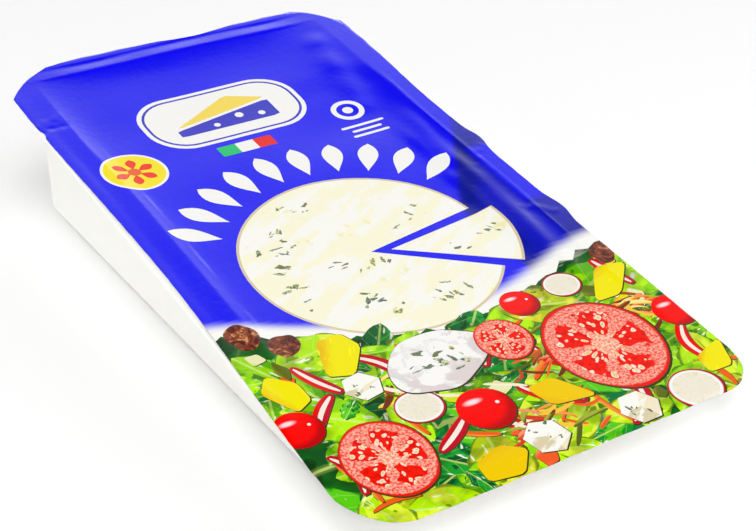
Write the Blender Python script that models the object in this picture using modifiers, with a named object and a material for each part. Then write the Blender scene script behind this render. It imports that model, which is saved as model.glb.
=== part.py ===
"""A sealed wedge-shaped cheese pack: a moulded white tray, with a printed film sealed over its mouth.

Metres, +Z up. The origin is on the floor under the middle of the pack. The thin end of the wedge
points to -Y and the deep end to +Y, so the mouth slopes down towards -Y.
"""

import math

import bmesh
import bpy
from mathutils import Matrix, Vector

# Driving dimensions of the mouth, measured along its slope
FILM_WIDTH = 0.0929
FILM_LENGTH = 0.1716
THIN_END_HEIGHT = 0.0108
MOUTH_SLOPE = math.radians(7.76)

# Corners in this order: front left, front right, back right, back left. A cut of 1 leaves a chamfer
FILM_CORNERS = (0.0125, 0.0090, 0.0099, 0.0126)
FILM_CORNER_CUTS = (0.0, 0.0, 0.75, 0.75)
RIM_CORNERS = (0.0116, 0.0081, 0.0135, 0.0165)
ROUND_CUTS = (0.0, 0.0, 0.0, 0.0)

# The film and the rim it is sealed to
FILM_THICKNESS = 0.0003
PIECE_GAP = 0.0003
RIM_THICKNESS = 0.0007
RIM_SETBACK = 0.0009  # how far the tray's rim stays inside the film's widest reach

# The hollow that the film is drawn down into, inside the lip of the tray
LIP_INSET = 0.0060
DRAWN_INSETS = (0.0078, 0.0106, 0.0145, 0.0195)
DRAWN_REACH = 0.0070
DISH_DEPTH_BACK = 0.0019
DISH_DEPTH_FRONT = 0.0007
DISH_CORNERS = (0.0080, 0.0072, 0.0082, 0.0082)
SAG_HEIGHT = 0.0001
SAG_LENGTH = 0.0620
INNER_SHARES = (0.78, 0.54, 0.28)

# The long fold that the film's pull leaves along the right side
FOLD_HEIGHT = 0.0003
FOLD_X = 0.0368
FOLD_SPREAD = 0.0021
FOLD_MIDDLE = 0.0840
FOLD_HALF_LENGTH = 0.0420

# The film's loose edge: how far each side is pulled in from its widest reach, and where
LEFT_PULL = 0.0022
LEFT_WAVE_LENGTH = 0.1350
LEFT_WAVE_CREST = 0.0150
LEFT_BACK_PULL = 0.0007
LEFT_BACK_START = 0.0900
LEFT_BACK_END = 0.1400
RIGHT_PULL = 0.0017
RIGHT_RELEASE_START = 0.1150
RIGHT_RELEASE_END = 0.1560
RIGHT_LOBES = (0.0650, 0.0970)
LOBE_SPREAD = 0.0040
LOBE_REACH = 0.0012
BACK_PULLS = ((0.0070, 0.0110, 0.0017), (-0.0338, 0.0055, 0.0013))  # centre, spread, depth

# The tray's walls, which lean in to a flat floor
WALL_INSET = 0.0072
WALL_CORNERS = (0.0080, 0.0070, 0.0075, 0.0070)
FLOOR_SIDE_INSET = 0.0077
FLOOR_FRONT_INSET = 0.0135
FLOOR_BACK_INSET = 0.0070
FLOOR_CORNERS = (0.0110, 0.0100, 0.0070, 0.0058)
FLOOR_ROUNDING = 0.0026
ROUNDING_STEPS = 4

# How finely each outline is divided
CORNER_STEPS = 7
LONG_SIDE_STEPS = 38
SHORT_SIDE_STEPS = 14
SMOOTH_ANGLE = math.radians(40)

# Colours as linear RGBA
TRAY_COLOUR = (0.93, 0.92, 0.87, 1.0)
FILM_COLOUR = (0.07, 0.05, 0.85, 1.0)

HALF_WIDTH = FILM_WIDTH / 2
HALF_DEPTH = FILM_LENGTH * math.cos(MOUTH_SLOPE) / 2
TRAY_DROP = FILM_THICKNESS + PIECE_GAP
MOUTH_MIDDLE = Vector((0, FILM_LENGTH / 2))
MOUTH_FRAME = Matrix.Translation((0, -HALF_DEPTH, THIN_END_HEIGHT)) @ Matrix.Rotation(MOUTH_SLOPE, 4, "X")


def clear_scene():
    """Removes every object of the opened file."""
    for old in list(bpy.data.objects):
        bpy.data.objects.remove(old, do_unlink=True)


def ease(value, low, high):
    """Rises smoothly from 0 at low to 1 at high."""
    share = min(max((value - low) / (high - low), 0.0), 1.0)
    return share * share * (3 - 2 * share)


def bump(value, centre, spread):
    """A smooth hill, 1 at its centre."""
    return math.exp(-(((value - centre) / spread) ** 2))


def corner_points(centre, radius, start, cut):
    """A quarter circle from a start angle, drawn towards its chord by the cut."""
    arc = []
    for step in range(CORNER_STEPS + 1):
        angle = start + math.pi / 2 * step / CORNER_STEPS
        arc.append(centre + radius * Vector((math.cos(angle), math.sin(angle))))
    chord = [arc[0].lerp(arc[-1], step / CORNER_STEPS) for step in range(CORNER_STEPS + 1)]
    return [on_arc.lerp(on_chord, cut) for on_arc, on_chord in zip(arc, chord)]


def rounded_outline(left, right, front, back, radii, cuts=ROUND_CUTS):
    """A rounded rectangle as (x, y) points, anticlockwise, with the same count at every size."""
    front_left, front_right, back_right, back_left = radii
    centres = (
        (left + front_left, front + front_left),
        (right - front_right, front + front_right),
        (right - back_right, back - back_right),
        (left + back_left, back - back_left),
    )
    corners = []
    for number, (centre, radius, cut) in enumerate(zip(centres, radii, cuts)):
        start = math.pi / 2 * (number + 2)
        corners.append(corner_points(Vector(centre), radius, start, cut))
    points = []
    for number, corner in enumerate(corners):
        points += corner
        side_steps = LONG_SIDE_STEPS if number % 2 else SHORT_SIDE_STEPS
        side_end = corners[(number + 1) % 4][0]
        points += [corner[-1].lerp(side_end, step / side_steps) for step in range(1, side_steps)]
    return points


def mouth_outline(inset, radii, cuts=ROUND_CUTS):
    """The mouth's outline in its own frame, moved in by an inset."""
    return rounded_outline(inset - HALF_WIDTH, HALF_WIDTH - inset, inset, FILM_LENGTH - inset, radii, cuts)


def loosen_edge(point):
    """Pulls a point of the film's edge in, by as much as the loose film has drawn back there."""
    x, along = point
    if x < 0:
        wave = 0.5 - 0.5 * math.cos(math.tau * (along - LEFT_WAVE_CREST) / LEFT_WAVE_LENGTH)
        pull = LEFT_PULL * wave + LEFT_BACK_PULL * ease(along, LEFT_BACK_START, LEFT_BACK_END)
    else:
        lobes = sum(bump(along, centre, LOBE_SPREAD) for centre in RIGHT_LOBES)
        pull = RIGHT_PULL * (1 - ease(along, RIGHT_RELEASE_START, RIGHT_RELEASE_END)) - LOBE_REACH * lobes
    back_pull = sum(depth * bump(x, centre, spread) for centre, spread, depth in BACK_PULLS)
    back_share = max(0.0, 2 * along / FILM_LENGTH - 1)
    return Vector((x - pull * x / HALF_WIDTH, along - back_pull * back_share))


def on_film(point, inset):
    """A point on the film's upper face inside the lip, in the mouth's frame."""
    x, along = point
    depth = DISH_DEPTH_FRONT + (DISH_DEPTH_BACK - DISH_DEPTH_FRONT) * along / FILM_LENGTH
    drawn = 1 - math.exp((LIP_INSET - inset) / DRAWN_REACH)
    fold = FOLD_HEIGHT * bump(x, FOLD_X, FOLD_SPREAD) * bump(along, FOLD_MIDDLE, FOLD_HALF_LENGTH)
    sag = SAG_HEIGHT * math.sin(math.tau * along / SAG_LENGTH) * math.cos(math.pi * x / FILM_WIDTH)
    return Vector((x, along, (sag - depth) * drawn + fold))


def film_rings():
    """Rings of the film's upper face in the mouth's frame, from its edge to near its middle."""
    edge = [loosen_edge(point) for point in mouth_outline(0.0, FILM_CORNERS, FILM_CORNER_CUTS)]
    lip = mouth_outline(LIP_INSET, DISH_CORNERS)
    rings = [[Vector((x, along, 0)) for x, along in outline] for outline in (edge, lip)]
    for inset in DRAWN_INSETS:
        rings.append([on_film(point, inset) for point in mouth_outline(inset, DISH_CORNERS)])
    foot = mouth_outline(DRAWN_INSETS[-1], DISH_CORNERS)
    for share in INNER_SHARES:
        rings.append([on_film(MOUTH_MIDDLE.lerp(point, share), HALF_WIDTH) for point in foot])
    return rings


def add_ring(mesh, points):
    """Adds one ring of vertices."""
    return [mesh.verts.new(point) for point in points]


def skin(mesh, upper, lower):
    """Joins two rings with quads that face away from the ring's middle, upper ring first."""
    for number in range(len(upper)):
        following = (number + 1) % len(upper)
        mesh.faces.new((upper[number], lower[number], lower[following], upper[following]))


def close_with_fan(mesh, ring, point):
    """Fills an anticlockwise ring with triangles round a middle point."""
    middle = mesh.verts.new(point)
    for number in range(len(ring)):
        mesh.faces.new((ring[number], ring[(number + 1) % len(ring)], middle))


def add_object(name, mesh, material, collection, parent):
    """Makes a smooth-shaded object from a finished bmesh."""
    data = bpy.data.meshes.new(name)
    mesh.to_mesh(data)
    mesh.free()
    data.shade_smooth()
    data.set_sharp_from_angle(angle=SMOOTH_ANGLE)
    data.materials.append(material)
    made = bpy.data.objects.new(name, data)
    made.parent = parent
    collection.objects.link(made)
    return made


def plastic(name, colour, roughness):
    """A plain plastic material."""
    material = bpy.data.materials.new(name)
    material.use_nodes = True
    shader = material.node_tree.nodes["Principled BSDF"]
    shader.inputs["Base Color"].default_value = colour
    shader.inputs["Roughness"].default_value = roughness
    shader.inputs["Metallic"].default_value = 0.0
    return material


def build_film(collection, mouth):
    """The printed film: one sheet, flat where it is sealed and drawn down inside the lip."""
    mesh = bmesh.new()
    rings = [add_ring(mesh, points) for points in film_rings()]
    for outer, inner in zip(rings, rings[1:]):
        skin(mesh, inner, outer)
    close_with_fan(mesh, rings[-1], on_film(MOUTH_MIDDLE, HALF_WIDTH))
    film = add_object("lid_film", mesh, plastic("film_print", FILM_COLOUR, 0.22), collection, mouth)
    sheet = film.modifiers.new("thickness", "SOLIDIFY")
    sheet.thickness = FILM_THICKNESS
    sheet.offset = -1
    return film


def floor_outline(inset):
    """The tray's floor outline on the ground, moved in by an inset."""
    left = FLOOR_SIDE_INSET + inset - HALF_WIDTH
    front = FLOOR_FRONT_INSET + inset - HALF_DEPTH
    back = HALF_DEPTH - FLOOR_BACK_INSET - inset
    points = rounded_outline(left, -left, front, back, FLOOR_CORNERS)
    return [Vector((x, y, 0)) for x, y in points]


def wall_rings(top):
    """Rings down the leaning wall from its top, rounded where it meets the floor."""
    corners = floor_outline(0.0)
    feet = floor_outline(FLOOR_ROUNDING)
    starts = [corner + (high - corner).normalized() * FLOOR_ROUNDING for corner, high in zip(corners, top)]
    rings = []
    for step in range(ROUNDING_STEPS + 1):
        share = step / ROUNDING_STEPS
        ring = []
        for start, corner, foot in zip(starts, corners, feet):
            ring.append(start.lerp(corner, share).lerp(corner.lerp(foot, share), share))
        rings.append(ring)
    return rings


def build_tray(collection, pack):
    """The closed tray with what it holds: its top follows the film, and its rim carries it."""
    drop = Vector((0, 0, -TRAY_DROP))
    rim_drop = Vector((0, 0, -TRAY_DROP - RIM_THICKNESS))
    rim = [Vector((x, along, 0)) for x, along in mouth_outline(RIM_SETBACK, RIM_CORNERS)]
    top_rings = [[MOUTH_FRAME @ (point + drop) for point in ring] for ring in [rim] + film_rings()[1:]]
    rim_foot = [MOUTH_FRAME @ (point + rim_drop) for point in rim]
    wall_outline = mouth_outline(WALL_INSET, WALL_CORNERS)
    wall_top = [MOUTH_FRAME @ (Vector((x, along, 0)) + rim_drop) for x, along in wall_outline]

    mesh = bmesh.new()
    rings = [add_ring(mesh, points) for points in reversed(top_rings)]
    rings += [add_ring(mesh, points) for points in [rim_foot, wall_top] + wall_rings(wall_top)]
    for upper, lower in zip(rings, rings[1:]):
        skin(mesh, upper, lower)
    close_with_fan(mesh, rings[0], MOUTH_FRAME @ (on_film(MOUTH_MIDDLE, HALF_WIDTH) + drop))
    mesh.faces.new(list(reversed(rings[-1])))
    return add_object("tray", mesh, plastic("tray_plastic", TRAY_COLOUR, 0.38), collection, pack)


def add_empty(name, collection, parent=None, matrix=None):
    """A plain empty that other objects hang from."""
    empty = bpy.data.objects.new(name, None)
    empty.empty_display_size = FILM_WIDTH / 4
    empty.parent = parent
    if matrix is not None:
        empty.matrix_local = matrix
    collection.objects.link(empty)
    return empty


def main():
    clear_scene()
    collection = bpy.data.collections.new("wedge_cheese_pack")
    bpy.context.scene.collection.children.link(collection)
    pack = add_empty("pack", collection)
    mouth = add_empty("mouth", collection, pack, MOUTH_FRAME)
    build_tray(collection, pack)
    build_film(collection, mouth)
    bpy.context.view_layer.update()


main()
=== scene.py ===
"""Looks of a sealed wedge-shaped cheese pack: a white moulded tray, and the printed film over its mouth.

Lengths are in metres in the mouth's frame: x across, s up the slope from the thin end, and a lift off
the plane of the rim. Places in the print are (x, s) in units of 0.9 mm, about a hundredth of the lid's
width, with x from the left edge and s from the thin end. Inks are screen colours from 0 to 255.
"""

import math
import random

import bpy
import numpy as np
from mathutils import Matrix, Vector
from mathutils.geometry import delaunay_2d_cdt


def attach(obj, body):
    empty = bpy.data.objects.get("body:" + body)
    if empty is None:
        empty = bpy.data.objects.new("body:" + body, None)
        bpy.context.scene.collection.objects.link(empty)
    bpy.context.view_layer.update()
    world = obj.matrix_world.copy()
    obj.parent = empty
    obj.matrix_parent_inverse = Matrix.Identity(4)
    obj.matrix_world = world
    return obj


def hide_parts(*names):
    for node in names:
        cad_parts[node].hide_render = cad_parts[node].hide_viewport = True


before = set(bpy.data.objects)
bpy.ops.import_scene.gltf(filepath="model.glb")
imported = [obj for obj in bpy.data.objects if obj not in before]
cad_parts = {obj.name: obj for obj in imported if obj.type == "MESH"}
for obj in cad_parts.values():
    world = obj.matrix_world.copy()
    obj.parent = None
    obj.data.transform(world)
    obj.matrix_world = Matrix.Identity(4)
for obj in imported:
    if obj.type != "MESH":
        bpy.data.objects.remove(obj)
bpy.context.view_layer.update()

# The mouth, as the solids have it
FILM_WIDTH = 0.0929
FILM_LENGTH = 0.1716
THIN_END_HEIGHT = 0.0108
MOUTH_SLOPE = math.radians(7.76)
FILM_CORNERS = (0.0125, 0.0090, 0.0099, 0.0126)
FILM_CORNER_CUTS = (0.0, 0.0, 0.75, 0.75)
RIM_CORNERS = (0.0116, 0.0081, 0.0135, 0.0165)
RIM_SETBACK = 0.0009
ROUND_CUTS = (0.0, 0.0, 0.0, 0.0)

# The film's loose edge
LEFT_PULL = 0.0022
LEFT_WAVE_LENGTH = 0.1350
LEFT_WAVE_CREST = 0.0150
LEFT_BACK_PULL = 0.0007
LEFT_BACK_RISE = (0.0900, 0.1400)
RIGHT_PULL = 0.0017
RIGHT_RELEASE = (0.1150, 0.1560)
RIGHT_LOBES = (0.0650, 0.0970)
LOBE_SPREAD = 0.0040
LOBE_REACH = 0.0012
BACK_PULLS = ((0.0070, 0.0110, 0.0017), (-0.0338, 0.0055, 0.0013))
NOTCH_PLACE = 0.1415
NOTCH_SPREAD = 0.0012
NOTCH_DEPTH = 0.0008
FLUTTER = 0.00005
FLUTTER_WAVES = ((1.0, 870, 0.6), (0.7, 1490, 2.1), (0.5, 2930, 0.0))  # size, rate, phase
EDGE_DROOP = 0.00025
EDGE_REACH = 0.0012
RIPPLE = 0.4
RIPPLE_RATES = (610, 700)

# The lips inside which the film is drawn down, measured in from its widest reach
LEFT_LIP = 0.0081
LEFT_LIP_LEAN = 0.0013
LEFT_CURL = 0.024
RIGHT_LIP = 0.0065
FRONT_LIP = 0.0052
BACK_LIP = 0.0067
LIP_SOFTNESS = 0.0002

# How deep it is drawn, and how far inside each lip it takes. The sides gain a share of it in one short step
BACK_DEPTH = 0.00175
FRONT_DEPTH = 0.0006
BACK_REACH = 0.0070
FRONT_REACH = 0.0140
SIDE_REACH = 0.0140
LEFT_STEP = 0.40
LEFT_STEP_LOSS = 0.6
LEFT_STEP_REACH = 0.0034
RIGHT_STEP_FRONT = 0.177
RIGHT_STEP_BACK = 0.59
RIGHT_STEP_REACH = 0.0035
SLACK = 0.00005
SLACK_WAVES = ((1.0, 60, 190, 0.0), (0.8, 240, -45, 1.0), (0.6, -120, 330, 0.0))  # size, two rates, phase

# Where along the lid each of these starts and ends its change, in print places
LEAN_FALL = (115, 155)
CURL_RISE = (10, 40)
CURL_FALL = (172, 186)
DEPTH_RISE = (20, 90)
LEFT_STEP_FALL = (155, 178)
RIGHT_STEP_RISE = (90, 115)
RIGHT_STEP_FALL = (145.6, 157.6)

# The steep stretch of the film's right side
STRETCH_PLACE = 132
STRETCH_SPREAD = 11.7
STRETCH_STEP = 0.74
STRETCH_REACH = 0.0022

# The tray's walls and floor, as the solids have them
WALL_INSET = 0.0072
WALL_CORNERS = (0.0080, 0.0070, 0.0075, 0.0070)
FLOOR_SIDE_INSET = 0.0077
FLOOR_FRONT_INSET = 0.0135
FLOOR_BACK_INSET = 0.0070
FLOOR_CORNERS = (0.0110, 0.0100, 0.0070, 0.0058)
FLOOR_ROUNDING = 0.0026

# Finer forms of the tray, which the solids don't have
WALL_TOP_ROUNDING = 0.0012
FOOT_WIDTH = 0.0050
FOOT_HEIGHT = 0.0006

# The film is thinner here than in the solids, and lies closer to the rim
FILM_SHEET = 0.0001
SEAL_GAP = 0.00004

HALF_WIDTH = FILM_WIDTH / 2
HALF_DEPTH = FILM_LENGTH * math.cos(MOUTH_SLOPE) / 2
MOUTH_FRAME = Matrix.Translation((0, -HALF_DEPTH, THIN_END_HEIGHT)) @ Matrix.Rotation(MOUTH_SLOPE, 4, "X")

# The print's unit, and the middle of its width
UNIT = 0.0009
MIDDLE_X = 50.0


def ease(value, low, high):
    """Rises smoothly from 0 at low to 1 at high."""
    share = np.clip((value - low) / (high - low), 0.0, 1.0)
    return share * share * (3 - 2 * share)


def bump(value, centre, spread):
    """A smooth hill, 1 at its centre."""
    return np.exp(-(((value - centre) / spread) ** 2))


# Outlines


def corner_points(centre, radius, start, cut, steps):
    """A quarter circle from a start angle, drawn towards its chord by the cut."""
    share = np.linspace(0, 1, steps + 1)[:, None]
    angle = start + math.pi / 2 * share
    arc = np.array(centre) + radius * np.hstack((np.cos(angle), np.sin(angle)))
    chord = arc[0] + (arc[-1] - arc[0]) * share
    return arc + (chord - arc) * cut


def rounded_outline(left, right, front, back, radii, cuts=ROUND_CUTS, steps=(12, 120, 60)):
    """A rounded rectangle as an array of points, anticlockwise, with the same count at every size."""
    corner_steps, long_steps, short_steps = steps
    front_left, front_right, back_right, back_left = radii
    centres = (
        (left + front_left, front + front_left),
        (right - front_right, front + front_right),
        (right - back_right, back - back_right),
        (left + back_left, back - back_left),
    )
    corners = []
    for number, (centre, radius, cut) in enumerate(zip(centres, radii, cuts)):
        corners.append(corner_points(centre, radius, math.pi / 2 * (number + 2), cut, corner_steps))
    pieces = []
    for number, corner in enumerate(corners):
        side_steps = long_steps if number % 2 else short_steps
        share = np.linspace(0, 1, side_steps + 1)[1:-1, None]
        following = corners[(number + 1) % 4][0]
        pieces += [corner, corner[-1] + (following - corner[-1]) * share]
    return np.vstack(pieces)


def mouth_outline(inset, radii, cuts=ROUND_CUTS):
    """The mouth's outline in its own frame, moved in by an inset."""
    sides = (inset - HALF_WIDTH, HALF_WIDTH - inset, inset, FILM_LENGTH - inset)
    return rounded_outline(*sides, radii, cuts)


def film_edge():
    """The film's loose edge: pulled in along its sides, notched by a fold, and a little uneven."""
    points = mouth_outline(0.0, FILM_CORNERS, FILM_CORNER_CUTS)
    x, along = points[:, 0].copy(), points[:, 1].copy()
    wave = 0.5 - 0.5 * np.cos(math.tau * (along - LEFT_WAVE_CREST) / LEFT_WAVE_LENGTH)
    left = LEFT_PULL * wave + LEFT_BACK_PULL * ease(along, *LEFT_BACK_RISE)
    left += NOTCH_DEPTH * bump(along, NOTCH_PLACE, NOTCH_SPREAD)
    lobes = sum(bump(along, centre, LOBE_SPREAD) for centre in RIGHT_LOBES)
    right = RIGHT_PULL * (1 - ease(along, *RIGHT_RELEASE)) - LOBE_REACH * lobes
    pull = np.where(x < 0, left, right) + flutter(along)
    back_pull = sum(depth * bump(x, centre, spread) for centre, spread, depth in BACK_PULLS)
    back_share = np.maximum(0.0, 2 * along / FILM_LENGTH - 1)
    points[:, 0] = x - pull * x / HALF_WIDTH
    points[:, 1] = along - (back_pull + flutter(x)) * back_share
    return points


def flutter(place):
    """The small unevenness of the film's cut edge, always inwards."""
    wander = sum(size * (1 + np.sin(place * rate + phase)) for size, rate, phase in FLUTTER_WAVES)
    return FLUTTER * wander / 2


# The film's relief


def inside_panel(x, s, inset, corner):
    """How far a point is inside a rounded panel, which lies an inset inside the film's widest reach."""
    across = np.abs(x) - HALF_WIDTH + inset + corner
    along = np.abs(s - FILM_LENGTH / 2) - FILM_LENGTH / 2 + inset + corner
    outside = np.hypot(np.maximum(across, 0), np.maximum(along, 0))
    return corner - outside - np.minimum(np.maximum(across, along), 0)


# Folds of the film as (start, end, height in millimetres, spread to the left and right of the run)
CREASES = (
    ((87.9, 40.0), (90.7, 136.0), 0.45, (2.8, 2.4)),
    ((84.0, 50.0), (86.1, 132.0), 0.30, (2.4, 3.4)),
    ((76.3, 76.0), (88.6, 104.0), -0.15, (2.1, 2.2)),
    ((94.2, 30.0), (95.3, 158.0), 0.07, (0.4, 0.6)),
    ((4.1, 20.0), (3.5, 184.0), -0.12, (1.8, 4.0)),
    ((11.8, 56.0), (11.4, 158.0), -0.046, (0.3, 2.5)),
    ((2.0, 187.2), (98.0, 187.2), -0.16, (0.8, 1.8)),
    ((2.0, 182.9), (98.0, 182.9), 0.10, (1.5, 0.5)),
    ((82.1, 132.0), (89.7, 179.0), 0.30, (4.4, 3.6)),
    ((-3.0, 157.0), (9.0, 160.5), -0.10, (0.9, 0.9)),
    ((-2.0, 160.0), (8.0, 165.5), 0.08, (0.9, 0.9)),
    ((99.5, 70.0), (90.5, 78.0), 0.08, (1.2, 1.2)),
    ((100.0, 106.0), (91.0, 96.0), 0.08, (1.2, 1.2)),
)
FOLD_WANDER = 0.0003
FOLD_FADE = 0.2
FOLD_SWELL = 0.25
WANDER_WAVES = 11
SWELL_WAVES = 23


def crease(x, s, start, end, height, spreads):
    """One straight fold, which swells and ebbs a little and fades out at its ends."""
    first = np.array(((start[0] - MIDDLE_X) * UNIT, start[1] * UNIT))
    run = np.array(((end[0] - MIDDLE_X) * UNIT, end[1] * UNIT)) - first
    length = math.hypot(*run)
    along = ((x - first[0]) * run[0] + (s - first[1]) * run[1]) / length**2
    aside = ((x - first[0]) * run[1] - (s - first[1]) * run[0]) / length
    aside = aside + FOLD_WANDER * np.sin(along * WANDER_WAVES + start[0])
    swell = ease(along, 0, FOLD_FADE) * ease(1 - along, 0, FOLD_FADE)
    swell = swell * (1 + FOLD_SWELL * np.sin(along * SWELL_WAVES + start[0]))
    spread = np.where(aside > 0, spreads[1], spreads[0]) * UNIT
    return height / 1000 * swell * bump(aside / spread, 0.0, 1.0)


def slack_waves(x, s):
    """The long low waves of a film that isn't quite tight."""
    waves = (size * np.sin(x * across + s * along + phase) for size, across, along, phase in SLACK_WAVES)
    return SLACK * sum(waves)


def soft_part(distance):
    """A distance where it is above zero, and nothing below, with a soft turn."""
    return (distance + np.hypot(distance, LIP_SOFTNESS)) / 2


def drawn(distance, reach):
    """How much of its depth the film has gained at a distance inside a lip."""
    return 1 - np.exp(-soft_part(distance) / reach)


def drawn_at_side(distance, step, step_reach):
    """The same at a side of the mouth, where a share of the depth is gained in one short step."""
    return step * drawn(distance, step_reach) + (1 - step) * drawn(distance, SIDE_REACH)


def film_lift(x, s):
    """How high the film's upper face is over the plane of the rim."""
    place = s / UNIT
    inside_left = x + HALF_WIDTH - LEFT_LIP - LEFT_LIP_LEAN * (1 - ease(place, *LEAN_FALL))
    left_step = LEFT_STEP * (1 - LEFT_STEP_LOSS * ease(place, *LEFT_STEP_FALL))
    left = drawn_at_side(inside_left, left_step, LEFT_STEP_REACH)
    curl = LEFT_CURL * soft_part(-inside_left) * ease(place, *CURL_RISE) * (1 - ease(place, *CURL_FALL))
    stretch = bump(place, STRETCH_PLACE, STRETCH_SPREAD)
    right_step = RIGHT_STEP_FRONT + (RIGHT_STEP_BACK - RIGHT_STEP_FRONT) * ease(place, *RIGHT_STEP_RISE)
    right_step = (right_step + STRETCH_STEP * stretch) * (1 - ease(place, *RIGHT_STEP_FALL))
    right_reach = RIGHT_STEP_REACH + STRETCH_REACH * stretch
    right = drawn_at_side(HALF_WIDTH - RIGHT_LIP - x, right_step, right_reach)
    back = drawn(FILM_LENGTH - BACK_LIP - s, BACK_REACH)
    front = drawn(s - FRONT_LIP, FRONT_REACH)
    depth = FRONT_DEPTH + (BACK_DEPTH - FRONT_DEPTH) * ease(place, *DEPTH_RISE)
    lift = (slack_waves(x, s) - depth) * left * right * back * front + curl
    lift = lift + sum(crease(x, s, *fold) for fold in CREASES)
    beyond = ease(-inside_panel(x, s, RIM_SETBACK, RIM_CORNERS[2]), 0.0, EDGE_REACH)
    ripple = RIPPLE * (np.sin(x * RIPPLE_RATES[0]) + np.sin(s * RIPPLE_RATES[1]))
    return lift - EDGE_DROOP * beyond * (1 + ripple)


# The print: a few helpers, then its motifs from the bottom up


def ink(*levels):
    """A screen colour from 0 to 255 as linear light."""
    shares = [level / 255 for level in levels]
    return tuple(((c + 0.055) / 1.055) ** 2.4 if c > 0.04 else c / 12.92 for c in shares)


LEAF_FULLNESS = 0.7
PRINT_REFLECTANCE = 0.91


class Motif:
    """One printed shape: an outline, a pattern, two inks, and its own axes, which the pattern follows."""

    def __init__(self, outline, pattern, inks, centre=(0.0, 0.0), turn=0.0, reach=(1.0, 1.0), seed=0.0):
        self.outline = np.array(outline, dtype=float)
        self.pattern = pattern
        self.inks = inks
        self.centre = np.array(centre)
        self.turn = math.radians(turn)
        self.reach = reach
        self.seed = seed

    def own_axes(self, places):
        """Places on the print along the motif's own axes, -1 to 1 from end to end."""
        x, s = (places - self.centre).T
        along = x * math.cos(self.turn) + s * math.sin(self.turn)
        aside = s * math.cos(self.turn) - x * math.sin(self.turn)
        return np.stack((along / self.reach[0], aside / self.reach[1]), axis=1)


def around(centre, radius, degrees):
    """The place at a distance and an angle from a centre."""
    angle = math.radians(degrees)
    return (centre[0] + radius * math.cos(angle), centre[1] + radius * math.sin(angle))


def turned(points, centre, turn):
    """Points set on a centre and turned by degrees."""
    angle = math.radians(turn)
    x, s = np.array(points).T
    across = centre[0] + x * math.cos(angle) - s * math.sin(angle)
    return np.stack((across, centre[1] + x * math.sin(angle) + s * math.cos(angle)), axis=1)


def blob(radius, stretch, wobble, rng, count=28):
    """A round outline with a few random waves."""
    waves = [(number, rng.uniform(0, math.tau), rng.uniform(0.4, 1.0) / number) for number in (2, 3, 4, 5, 7)]
    points = []
    for step in range(count):
        angle = math.tau * step / count
        swell = 1 + wobble * sum(size * math.sin(number * angle + phase) for number, phase, size in waves)
        points.append((radius * swell * math.cos(angle), radius * stretch * swell * math.sin(angle)))
    return points


def leaf_outline(length, width, wave, rng, count=20):
    """A pointed leaf along x with a frilled edge."""
    phase = rng.uniform(0, math.tau)
    frills = rng.uniform(14, 26)
    outline = []
    for step in range(2 * count):
        side = -1 if step < count else 1
        share = step / count if side < 0 else 2 - step / count
        half = width / 2 * math.sin(math.pi * share) ** LEAF_FULLNESS
        frill = 1 + wave * math.sin(share * frills + phase * side)
        outline.append((length * (share - 0.5), side * half * frill))
    return outline


def chunk_outline(reach, corners, rng):
    """A cut piece with a few softened corners."""
    sharp = []
    for step in range(corners):
        angle = math.tau * (step + rng.uniform(-0.22, 0.22)) / corners
        radius = rng.uniform(0.85, 1.1)
        sharp.append((reach[0] * radius * math.cos(angle), reach[1] * radius * math.sin(angle)))
    return soften(sharp, 2, 0.12)


def soften(points, rounds, cut):
    """Cuts the corners of an outline."""
    points = np.array(points)
    for _ in range(rounds):
        following = np.roll(points, -1, axis=0)
        pair = (points * (1 - cut) + following * cut, points * cut + following * (1 - cut))
        points = np.stack(pair, axis=1).reshape(-1, 2)
    return points


def strip_outline(length, width, bend, count=14):
    """A narrow bent strip with tapered ends."""
    share = np.linspace(0, 1, count + 1)
    arch = np.sin(math.pi * share).clip(0)
    half = width / 2 * (0.35 + 0.65 * arch**0.5)
    lower, upper = (np.stack((length * (share - 0.5), bend * arch + h), axis=1) for h in (-half, half))
    return np.vstack((lower, upper[::-1]))


def petal_outline(length, width, count=10):
    """A slender petal along x, widest beyond its middle."""
    share = np.linspace(0, 1, count + 1)
    half = width / 2 * np.sin(math.pi * share**1.4).clip(0) ** 0.8
    upper = np.stack((length * (share - 0.5), half), axis=1)
    return np.vstack((upper, upper[-2:0:-1] * (1, -1)))


def panel_outline(width, height, radius):
    """A rounded panel."""
    return rounded_outline(-width / 2, width / 2, -height / 2, height / 2, (radius,) * 4, steps=(8, 4, 4))


def sector_outline(radius, start, end, count=30):
    """A sector of a disc, from its point round its rim."""
    arc = [around((0, 0), radius, start + (end - start) * step / count) for step in range(count + 1)]
    return [(0.0, 0.0)] + arc


def circle(radius, count):
    """A plain circle."""
    return [around((0, 0), radius, 360 * step / count) for step in range(count)]


def shadow(motifs, outline):
    """The dark edge that a piece throws on what lies under it."""
    middle = outline.mean(axis=0)
    motifs.append(Motif(middle + (outline - middle) * 1.03 + (0.10, -0.22), "plain", (SHADOW, SHADOW)))


def lay(motifs, shape, spot, turn, pattern, inks, reach=(1.0, 1.0), seed=0.0, shaded=False):
    """Lays a shape on the print, set on a spot and turned by degrees."""
    outline = turned(shape, spot, turn)
    if shaded:
        shadow(motifs, outline)
    motifs.append(Motif(outline, pattern, inks, spot, turn, reach, seed))


def plain(motifs, shape, spot, turn, colour):
    """Lays a shape in one ink."""
    lay(motifs, shape, spot, turn, "plain", (colour, colour))


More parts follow.
